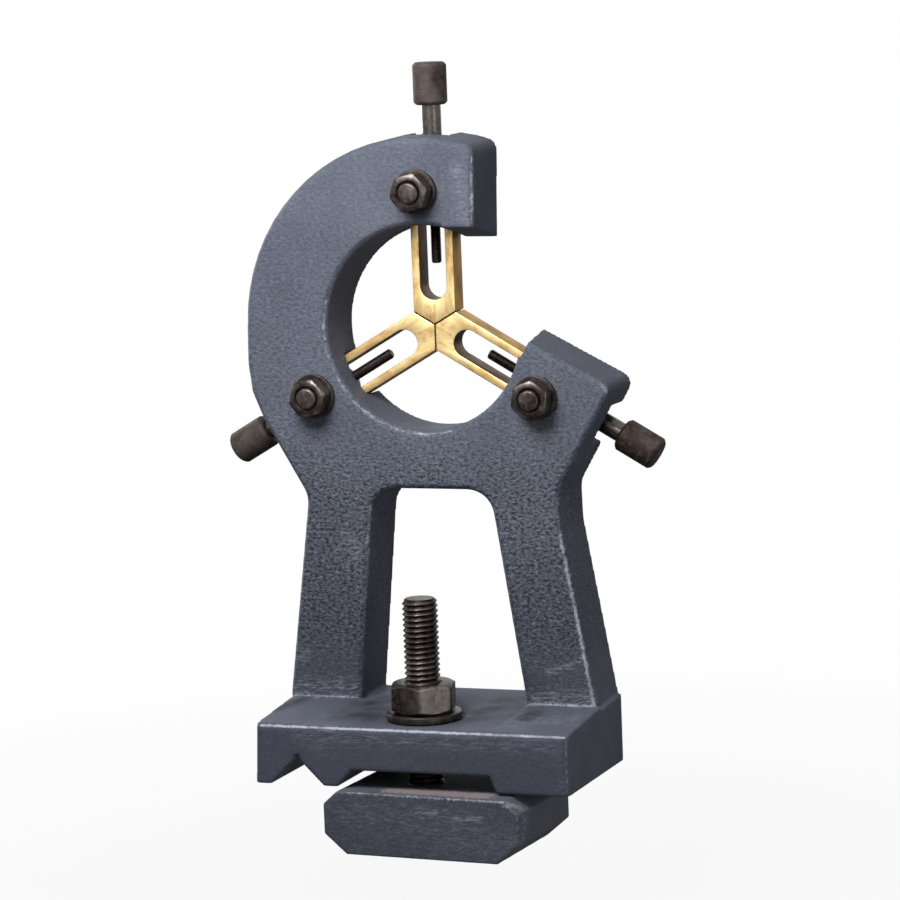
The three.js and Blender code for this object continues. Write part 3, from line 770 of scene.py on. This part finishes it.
def finger_brass():
    """Brass drawn along the finger: bright and stained on its faces, with darker, browner copies of
    the brass on its outer walls and darker still in its slot, as painted shade. The grain lies on
    the finger's own axes, which the mesh stores."""
    material, tree, surface = new_finish("finger brass", Metallic=0.85)
    depth = axis_of(tree, object_place(tree), "Y")
    own = {"X": attribute(tree, "across"), "Y": depth, "Z": attribute(tree, "along")}
    own = add_node(tree, "ShaderNodeCombineXYZ", own).outputs["Vector"]
    grain = use_group(tree, "grain", {"Place": own, "Stretch": (1.0, 1.0, 0.35), "Scale": 620.0})
    tone = remap(tree, grain["Cloud"], 0.35, 0.62)
    darkening = remap(tree, grain["Lines"], 0.48, 0.72, 0.0, 0.7)
    face = blend(tree, darkening, clouded(tree, tone, BRASS_FACE), colour(BRASS_STAIN))
    # Painted shade on the outer walls and, darker, in the slot
    outside = clouded(tree, tone, BRASS_SIDE_SHADE)
    inside = clouded(tree, tone, BRASS_SLOT_SHADE)
    side = blend(tree, attribute(tree, "slot"), outside, inside)
    brass = blend(tree, remap(tree, attribute(tree, "facing"), 0.35, 0.85), side, face)
    roughness = remap(tree, grain["Lines"], 0.3, 0.7, 0.36, 0.55)
    tree.links.new(brass, surface.inputs["Base Color"])
    tree.links.new(roughness, surface.inputs["Roughness"])
    bump(tree, surface, grain["Lines"], strength=0.3, distance=0.08 * MM)
    return material


def blacked_steel():
    """Blacked steel, brown in places, bright where its polish mark says: bright on the screw shanks
    and a painted highlight on the nut flats. Painted shade darkens it towards black where its
    groove mark says, and it is duller or shinier by its mark 'matt'."""
    material, tree, surface = new_finish("blacked steel", Metallic=0.9)
    grain = use_group(tree, "grain", {"Place": object_place(tree), "Scale": 700.0})
    base = clouded(tree, remap(tree, grain["Cloud"], 0.38, 0.62), BLACKED_STEEL)
    speckle = remap(tree, grain["Lines"], 0.35, 0.65, -0.25, 0.25)
    # Bright where polished, and the painted highlight on the nut flats
    polish_and_light = maths(tree, "ADD", attribute(tree, "polish_and_light"), speckle, clamp=True)
    base = blend(tree, polish_and_light, base, colour(BRIGHT_STEEL))
    # Painted shade towards black where the groove mark says
    base = blend(tree, attribute(tree, "groove"), base, colour(GROOVE_SHADE))
    roughness = remap(tree, grain["Lines"], 0.3, 0.7, 0.3, 0.5)
    matt = maths(tree, "MULTIPLY", attribute(tree, "matt"), 0.3)
    roughness = maths(tree, "ADD", roughness, matt)
    tree.links.new(base, surface.inputs["Base Color"])
    tree.links.new(roughness, surface.inputs["Roughness"])
    bump(tree, surface, grain["Lines"], strength=0.2, distance=0.05 * MM)
    return material


def white_floor():
    """Pale floor, white where the camera looks straight at it. Near the part it keeps a share of
    its own shade, so that the part's shadow shows, and further off it is plain white."""
    material, tree, surface = new_finish("white floor", Roughness=0.9)
    surface.inputs["Base Color"].default_value = colour(FLOOR_SHADE)
    output = next(n for n in tree.nodes if n.type == "OUTPUT_MATERIAL")
    glow = add_node(tree, "ShaderNodeEmission", {"Color": WHITE, "Strength": 1.0})
    seen = add_node(tree, "ShaderNodeLightPath").outputs["Is Camera Ray"]
    place = {0: object_place(tree)}
    far = add_node(tree, "ShaderNodeVectorMath", place, operation="LENGTH").outputs["Value"]
    share = remap(tree, far, FLOOR_NEAR, FLOOR_FAR, FLOOR_NEAR_WHITE, 1.0)
    share = maths(tree, "MULTIPLY", seen, share)
    values = {0: share, 1: surface.outputs["BSDF"], 2: glow.outputs["Emission"]}
    mix = add_node(tree, "ShaderNodeMixShader", values)
    tree.links.new(mix.outputs["Shader"], output.inputs["Surface"])
    return material


# Pieces

def castings():
    """The frame casting and the clamp plate, each a cast skin under its own paint."""
    paint = painted_casting("casting paint", BODY_PAINT, BODY_GRAIN)
    skin = cast_skin("frame_casting", CAST_CELL, CAST_DEPTH, CASTING_WEAR_AND_LIGHT)
    piece("casting", skin, "frame", "painted_casting", paint, "frame_casting",
          smooth_angle=CAST_SMOOTH_ANGLE)
    paint = painted_casting("plate paint", PLATE_PAINT, PLATE_GRAIN)
    skin = cast_skin("clamp_plate", PLATE_CELL, PLATE_DEPTH, PLATE_WEAR)
    piece("plate", skin, "clamp_plate_body", "plate_casting", paint, "clamp_plate",
          smooth_angle=CAST_SMOOTH_ANGLE)


def station_axes(station):
    """Across and outward directions of a finger: outward is X turned by its angle towards Z."""
    turn = math.radians(FINGER_TURN[station])
    outward = np.array([math.cos(turn), 0.0, math.sin(turn)])
    across = np.array([math.sin(turn), 0.0, -math.cos(turn)])
    return across, outward


def own_span(station, node):
    """A node's least and greatest place along its finger's outward axis, and its middle along Y."""
    _, outward = station_axes(station)
    points = points_of(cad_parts[station + node].data) - (0.0, 0.0, CENTRE_HEIGHT)
    reach = points @ outward
    return reach.min(), reach.max(), (points[:, 1].min() + points[:, 1].max()) / 2.0


def screw_rod(low, head):
    """The rod and shank of an adjusting screw: a turned profile, from whose radius a helical
    triangle wave is taken off as far as the neck, for the thread."""
    neck = low + ROD_THREAD_END
    shoulder = low + SHANK_START
    rod = np.array([
        (END_RADIUS, low),
        (ROD_RADIUS - ROD_CHAMFER, low),
        (ROD_RADIUS, low + ROD_CHAMFER),
        (ROD_RADIUS, neck),
        (ROD_RADIUS, shoulder),
        (SHANK_RADIUS, shoulder + 0.05 * MM),
        (SHANK_RADIUS, head + 0.3 * MM),
        (END_RADIUS, head + 0.4 * MM),
    ])
    rod = resampled(rod, ROD_PITCH / 8.0)
    wave = helix_wave(rod[:, 1], ROD_COLUMNS, ROD_PITCH)
    threaded = ((rod[:, 1] < neck) & (rod[:, 0] > ROD_THREAD_FROM))[:, None]
    radius = rod[:, :1] - ROD_THREAD_DEPTH * wave * threaded
    shank = rod[:, :1] > SHANK_FROM
    marks = {
        # Painted shade in the thread's roots
        "groove": np.where(threaded, 0.55 + 0.45 * wave, 0.0),
        "polish_and_light": 0.35 * shank,
        "matt": -0.6 * shank,
    }
    return turned_points(radius, rod[:, 1], ROD_COLUMNS), marks


def screw_head(head, high):
    """The head of an adjusting screw: a turned profile with a diamond knurl. The knurl's depth is
    the cube of the greater of two triangle waves, one rising round the head and one falling."""
    cap = eased_profile([
        (END_RADIUS, head),
        (HEAD_RADIUS - HEAD_CHAMFER, head),
        (HEAD_RADIUS, head + HEAD_CHAMFER),
        (HEAD_RADIUS, high - HEAD_CHAMFER),
        (HEAD_RADIUS - HEAD_CHAMFER, high),
        (END_RADIUS, high),
    ], HEAD_EASE)
    cap = resampled(cap, HEAD_STEP)
    turn = np.arange(HEAD_COLUMNS) / HEAD_COLUMNS * KNURL_COUNT
    climb = cap[:, 1:] / KNURL_PITCH
    groove = np.maximum(triangle_wave(turn + climb), triangle_wave(turn - climb)) ** 3
    on_wall = np.clip((cap[:, :1] - (HEAD_RADIUS - KNURL_MARGIN)) / KNURL_FADE, 0.0, 1.0)
    radius = cap[:, :1] - KNURL_DEPTH * groove * on_wall
    # Painted shade in the knurl's grooves
    marks = {"groove": 0.05 + 0.35 * groove * on_wall, "matt": 1.0}
    return turned_points(radius, cap[:, 1], HEAD_COLUMNS), marks


def adjusting_screw(station, finish):
    """The rod and the head of an adjusting screw, placed along its finger's outward axis."""
    low, high, middle = own_span(station, "_adjusting_screw")
    across, outward = station_axes(station)
    head = low + HEAD_START
    origin = (0.0, middle, CENTRE_HEIGHT)
    body = station + "_screw_body"
    points, marks = screw_rod(low, head)
    mesh = grid_mesh("rod", placed(points, origin, across, outward), marks=marks)
    piece(station + "_screw_rod", mesh, body, "blacked_steel", finish,
          station + "_adjusting_screw", smooth_angle=SCREW_SMOOTH_ANGLE)
    points, marks = screw_head(head, high)
    mesh = grid_mesh("head", placed(points, origin, across, outward), marks=marks)
    piece(station + "_screw_head", mesh, body, "blacked_steel", finish,
          smooth_angle=SCREW_SMOOTH_ANGLE)


def finger_loops(low, high):
    """The outline of a finger and of its slot, as two loops of matching points. The straight sides
    match side by side, the outer ends match, and the slot's half round matches the pointed tip."""
    half, slot = FINGER_WIDTH / 2.0, SLOT_WIDTH / 2.0
    shoulder = low + FINGER_TIP
    centre, slot_high = SLOT_START + slot, high - SLOT_MARGIN
    side = np.linspace(shoulder, high, FINGER_ROWS)
    level = np.linspace(centre, slot_high, FINGER_ROWS)
    right_out = np.stack((np.full(FINGER_ROWS, half), side), axis=1)
    right_in = np.stack((np.full(FINGER_ROWS, slot), level), axis=1)
    left_out, left_in = right_out[::-1] * (-1.0, 1.0), right_in[::-1] * (-1.0, 1.0)
    share = 1.0 - 2.0 * np.linspace(0.0, 1.0, FINGER_END_COLUMNS)[1:-1]
    top_out = np.stack((half * share, np.full(len(share), high)), axis=1)
    top_in = np.stack((slot * share, np.full(len(share), slot_high)), axis=1)
    sweep = np.linspace(0.0, 1.0, FINGER_TIP_COLUMNS)[1:-1]
    across = half * (2.0 * sweep - 1.0)
    tip = low + np.abs(across) / half * (shoulder - low)
    bottom_out = np.stack((across, tip), axis=1)
    angle = math.pi * (1.0 + sweep)
    bottom_in = np.stack((slot * np.cos(angle), centre + slot * np.sin(angle)), axis=1)
    outline = np.concatenate((right_out, top_out, left_out, bottom_out))
    hole = np.concatenate((right_in, top_in, left_in, bottom_in))
    return outline, hole


def loop_normals(loop):
    """Outward normals of a loop that runs against the clock, from the points on either side."""
    along = np.roll(loop, -1, axis=0) - np.roll(loop, 1, axis=0)
    normal = np.stack((along[:, 1], -along[:, 0]), axis=1)
    return normal / np.linalg.norm(normal, axis=1, keepdims=True)


def finger(station, finish):
    """A slotted plate: each pair of points on outline and slot is joined by a band that goes once
    round the plate's thickness, front face, slot wall, back face and outer wall. Each of its four
    corners is a quarter round: inset e (1 - cos a) at depth e (1 - sin a)."""
    low, high, _ = own_span(station, "_finger")
    across, outward = station_axes(station)
    lowest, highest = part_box(station + "_finger")
    front, back = lowest.y, highest.y
    outline, hole = finger_loops(low, high)
    inwards, outwards = -loop_normals(outline), loop_normals(hole)
    quarter = np.linspace(0.0, math.pi / 2.0, 4)
    opening = FINGER_EDGE * (1 - np.cos(quarter))
    closing = FINGER_EDGE * (1 - np.sin(quarter))
    corners = (
        (outline, inwards, opening, front + closing),
        (hole, outwards, closing, front + opening),
        (hole, outwards, opening, back - closing),
        (outline, inwards, closing, back - opening),
    )
    bands = []
    for loop, aside, insets, depths in corners:
        for inset, depth in zip(insets, depths):
            flat = loop + aside * inset
            bands.append(np.stack((flat[:, 0], np.full(len(flat), depth), flat[:, 1]), axis=1))
    grid = np.stack(bands)
    axes = np.stack((across, (0.0, 1.0, 0.0), outward))
    points = grid @ axes + (0.0, 0.0, CENTRE_HEIGHT)
    facing = np.tile(np.concatenate((np.sin(quarter), np.cos(quarter))), 2)
    in_slot = np.repeat((0.0, 1.0, 1.0, 0.0), len(quarter))
    marks = {
        "facing": facing[:, None],
        "slot": in_slot[:, None],
        "across": grid[..., 0],
        "along": grid[..., 2],
    }
    mesh = grid_mesh("finger", points, rows_close=True, marks=marks)
    piece(station + "_finger_plate", mesh, station + "_finger_body", "finger_brass", finish,
          station + "_finger")


def washer_mesh(radii, low, high, origin, across, along):
    """A flat ring: its closed profile goes up the outside, in over the top, down the hole and
    out."""
    inner, outer = radii
    profile = [(outer, low), (outer, high), (inner, high), (inner, low)]
    profile = eased_profile(profile, WASHER_EASE, closed=True)
    points = turned_points(profile[:, :1], profile[:, 1], WASHER_COLUMNS)
    points = placed(points, origin, across, along)
    # Painted shade: the groove mark darkens the whole washer
    return grid_mesh("washer", points, rows_close=True, marks={"groove": 0.5})


def nut_mesh(flats, bore, low, high, origin, across, along, turn, polish_and_light):
    """A hexagon nut. At each angle the outside is the least of the hexagon's radius,
    (flats / 2) / cos(angle from the nearest flat's middle), and a cone that turns the corners down.
    The six flats are painted unlike amounts of light, as painted highlight and painted shade: the
    more light, the less black."""
    root3 = math.sqrt(3.0)
    columns = np.arange(NUT_COLUMNS) / NUT_COLUMNS * 2.0 * math.pi
    from_corner = (columns - math.radians(turn + 30.0) + math.pi / 6.0) % (2.0 * math.pi)
    from_flat = from_corner % (math.pi / 3.0) - math.pi / 6.0
    flat = np.minimum(from_corner // (math.pi / 3.0), 5).astype(int)
    hexagon = (flats / 2.0) / np.cos(from_flat)
    hexagon = np.minimum(hexagon, flats / root3 - NUT_CORNER)
    face = flats / 2.0 * NUT_FACE
    bevel = (flats / root3 - face) / root3
    levels = np.linspace(0.0, 1.0, NUT_BEVEL_ROWS)
    rise = np.concatenate((low + bevel * levels, high - bevel * levels[::-1]))
    cone = face + bevel * root3 * np.concatenate((levels, levels[::-1]))
    wall = np.minimum(hexagon[None, :], cone[:, None])
    inner = np.array([
        (bore + NUT_LIP, high),
        (bore, high - NUT_LIP),
        (bore, low + NUT_LIP),
        (bore + NUT_LIP, low),
    ])
    radius = np.concatenate((wall, np.repeat(inner[:, :1], NUT_COLUMNS, axis=1)))
    height = np.concatenate((rise, inner[:, 1]))
    points = placed(turned_points(radius, height, NUT_COLUMNS), origin, across, along)
    outside = (np.arange(len(height)) < len(rise))[:, None]
    # Painted highlight and painted shade on each flat, by how it faces the light
    polish_and_light = np.array(polish_and_light)[flat]
    flat_shade = np.clip(0.45 - 0.9 * polish_and_light, 0.0, 1.0)
    # Painted shade on the flats that face away from the light and in the bore
    marks = {"polish_and_light": polish_and_light * outside, "groove": np.where(outside, flat_shade, 0.6)}
    return grid_mesh("nut", points, rows_close=True, marks=marks)


def eased_copy(node, name, body, slot, finish, width):
    """A node's own shape with its edges broken by a narrow bevel."""
    obj = merged_copy(node, name)
    bevel = obj.modifiers.new("broken edges", "BEVEL")
    bevel.width = width
    bevel.segments = 2
    bevel.limit_method = "ANGLE"
    bevel.angle_limit = math.radians(40.0)
    bevel.use_clamp_overlap = True
    return piece(name, applied_mesh(obj), body, slot, finish, node)


def finger_lock(station, finish):
    """Lock bolt, washer and nut, whose axis points out of the ring's front."""
    forward, across = (0.0, -1.0, 0.0), (1.0, 0.0, 0.0)
    low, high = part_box(station + "_lock_bolt")
    centre = ((low.x + high.x) / 2.0, 0.0, (low.z + high.z) / 2.0)
    low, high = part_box(station + "_lock_nut")
    nut = nut_mesh(LOCK_NUT_FLATS, LOCK_NUT_BORE, -high.y, -low.y, centre, across, forward,
                   LOCK_NUT_TURN[station], LOCK_NUT_FLAT_LIGHT)
    piece(station + "_hex_nut", nut, station + "_nut_body", "blacked_steel", finish,
          station + "_lock_nut")
    low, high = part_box(station + "_lock_washer")
    washer = washer_mesh(LOCK_WASHER, -high.y, -low.y, centre, across, forward)
    piece(station + "_flat_washer", washer, station + "_washer_body", "blacked_steel", finish,
          station + "_lock_washer")
    eased_copy(station + "_lock_bolt", station + "_bolt", "frame", "blacked_steel", finish,
               BOLT_BEVEL)


def retaining_clip(station, finish):
    """The clip keeps its own solid and takes the fasteners' finish."""
    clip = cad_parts[station + "_retaining_clip"]
    clip.data.materials.clear()
    clip.data.materials.append(finish)


def clamp_fasteners(finish):
    """The clamp stud, the large nut and the washer under it. The stud's radius is the less of its
    profile and of a thread's wave."""
    up, across = (0.0, 0.0, 1.0), (1.0, 0.0, 0.0)
    low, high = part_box("clamp_stud")
    origin = ((low.x + high.x) / 2.0, (low.y + high.y) / 2.0, 0.0)
    stud = np.array([
        (STUD_END_RADIUS, low.z),
        (STUD_RADIUS - STUD_CHAMFER, low.z),
        (STUD_RADIUS, low.z + STUD_CHAMFER),
        (STUD_RADIUS, high.z - STUD_CHAMFER),
        (STUD_RADIUS - STUD_CHAMFER, high.z),
        (STUD_END_RADIUS, high.z),
    ])
    stud = resampled(stud, STUD_PITCH / 12.0)
    wave = helix_wave(stud[:, 1], STUD_COLUMNS, STUD_PITCH)
    radius = np.minimum(stud[:, :1], STUD_RADIUS - STUD_THREAD_DEPTH * wave)
    points = placed(turned_points(radius, stud[:, 1], STUD_COLUMNS), origin, across, up)
    groove = np.clip((STUD_RADIUS - radius) / STUD_THREAD_DEPTH, 0.0, 1.0)
    # Painted shade in the stud's thread roots
    marks = {"groove": groove * (stud[:, :1] > STUD_GROOVE_FROM)}
    piece("stud", grid_mesh("stud", points, marks=marks), "clamp_stud_body", "blacked_steel",
          finish, "clamp_stud", smooth_angle=STUD_SMOOTH_ANGLE)
    low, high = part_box("clamp_nut")
    nut = nut_mesh(CLAMP_NUT_FLATS, CLAMP_NUT_BORE, low.z, high.z, origin, across, up,
                   CLAMP_NUT_TURN, CLAMP_NUT_FLAT_LIGHT)
    piece("large_nut", nut, "clamp_nut_body", "blacked_steel", finish, "clamp_nut")
    low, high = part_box("clamp_washer")
    washer = washer_mesh(CLAMP_WASHER, low.z, high.z, origin, across, up)
    piece("large_washer", washer, "frame", "blacked_steel", finish, "clamp_washer")


# Studio

def stand(obj, axes, place):
    """Stands an object at a place, with its own X, Y and Z along three directions."""
    rows = [(*row, at) for row, at in zip(np.stack(axes, 1), place)]
    obj.matrix_world = Matrix(rows + [(0.0, 0.0, 0.0, 1.0)])


def camera():
    """Looks along the azimuth and elevation, and is then turned about its own axis by the roll."""
    az, el, roll = (math.radians(v) for v in (VIEW_AZIMUTH, VIEW_ELEVATION, VIEW_ROLL))
    back = np.array([math.sin(az) * math.cos(el), -math.cos(az) * math.cos(el), math.sin(el)])
    level = np.array([math.cos(az), math.sin(az), 0.0])
    rise = np.cross(back, level)
    right = math.cos(roll) * level + math.sin(roll) * rise
    up = math.cos(roll) * rise - math.sin(roll) * level
    data = bpy.data.cameras.new("camera")
    data.lens = VIEW_LENS
    data.sensor_width = VIEW_SENSOR
    data.clip_start = VIEW_NEAREST
    data.clip_end = VIEW_FURTHEST
    obj = in_scene("camera", data)
    stand(obj, (right, up, back), VIEW_PLACE)
    bpy.context.scene.camera = obj


def soft_light(name, place, aim, size, power):
    """A square lamp, aimed at a point, which the camera doesn't see."""
    data = bpy.data.lights.new(name, "AREA")
    data.shape = "SQUARE"
    data.size = size
    data.energy = power
    back = np.array(place) - np.array(aim)
    back = back / np.linalg.norm(back)
    level = np.cross((0.0, 0.0, 1.0), back)
    level = level / np.linalg.norm(level)
    obj = in_scene(name, data)
    stand(obj, (level, np.cross(back, level), back), place)
    obj.visible_camera = False


def studio():
    """White surroundings of which only a weak share lights the object, three lamps and a floor."""
    scene = bpy.context.scene
    scene.view_settings.view_transform = "Standard"
    world = bpy.data.worlds.new("studio")
    scene.world = world
    world.use_nodes = True
    tree = world.node_tree
    background = next(n for n in tree.nodes if n.type == "BACKGROUND")
    background.inputs["Color"].default_value = WHITE
    path = add_node(tree, "ShaderNodeLightPath").outputs
    seen = maths(tree, "MAXIMUM", path["Is Camera Ray"], path["Is Glossy Ray"])
    seen = maths(tree, "MAXIMUM", seen, path["Is Transmission Ray"])
    strength = remap(tree, seen, 0.0, 1.0, SURROUNDING_LIGHT, 1.0)
    tree.links.new(strength, background.inputs["Strength"])
    for name, settings in LAMPS.items():
        soft_light(name, *settings)
    corners = [(-FLOOR_HALF, -FLOOR_HALF), (FLOOR_HALF, -FLOOR_HALF),
               (FLOOR_HALF, FLOOR_HALF), (-FLOOR_HALF, FLOOR_HALF)]
    mesh = bpy.data.meshes.new("floor")
    mesh.from_pydata([(x, y, FLOOR_LEVEL) for x, y in corners], [], [(0, 1, 2, 3)])
    mesh.materials.append(white_floor())
    floor = in_scene("floor", mesh)


camera()
studio()
steel = blacked_steel()
brass = finger_brass()
castings()
clamp_fasteners(steel)
for station in FINGER_TURN:
    finger(station, brass)
    adjusting_screw(station, steel)
    finger_lock(station, steel)
    retaining_clip(station, steel)
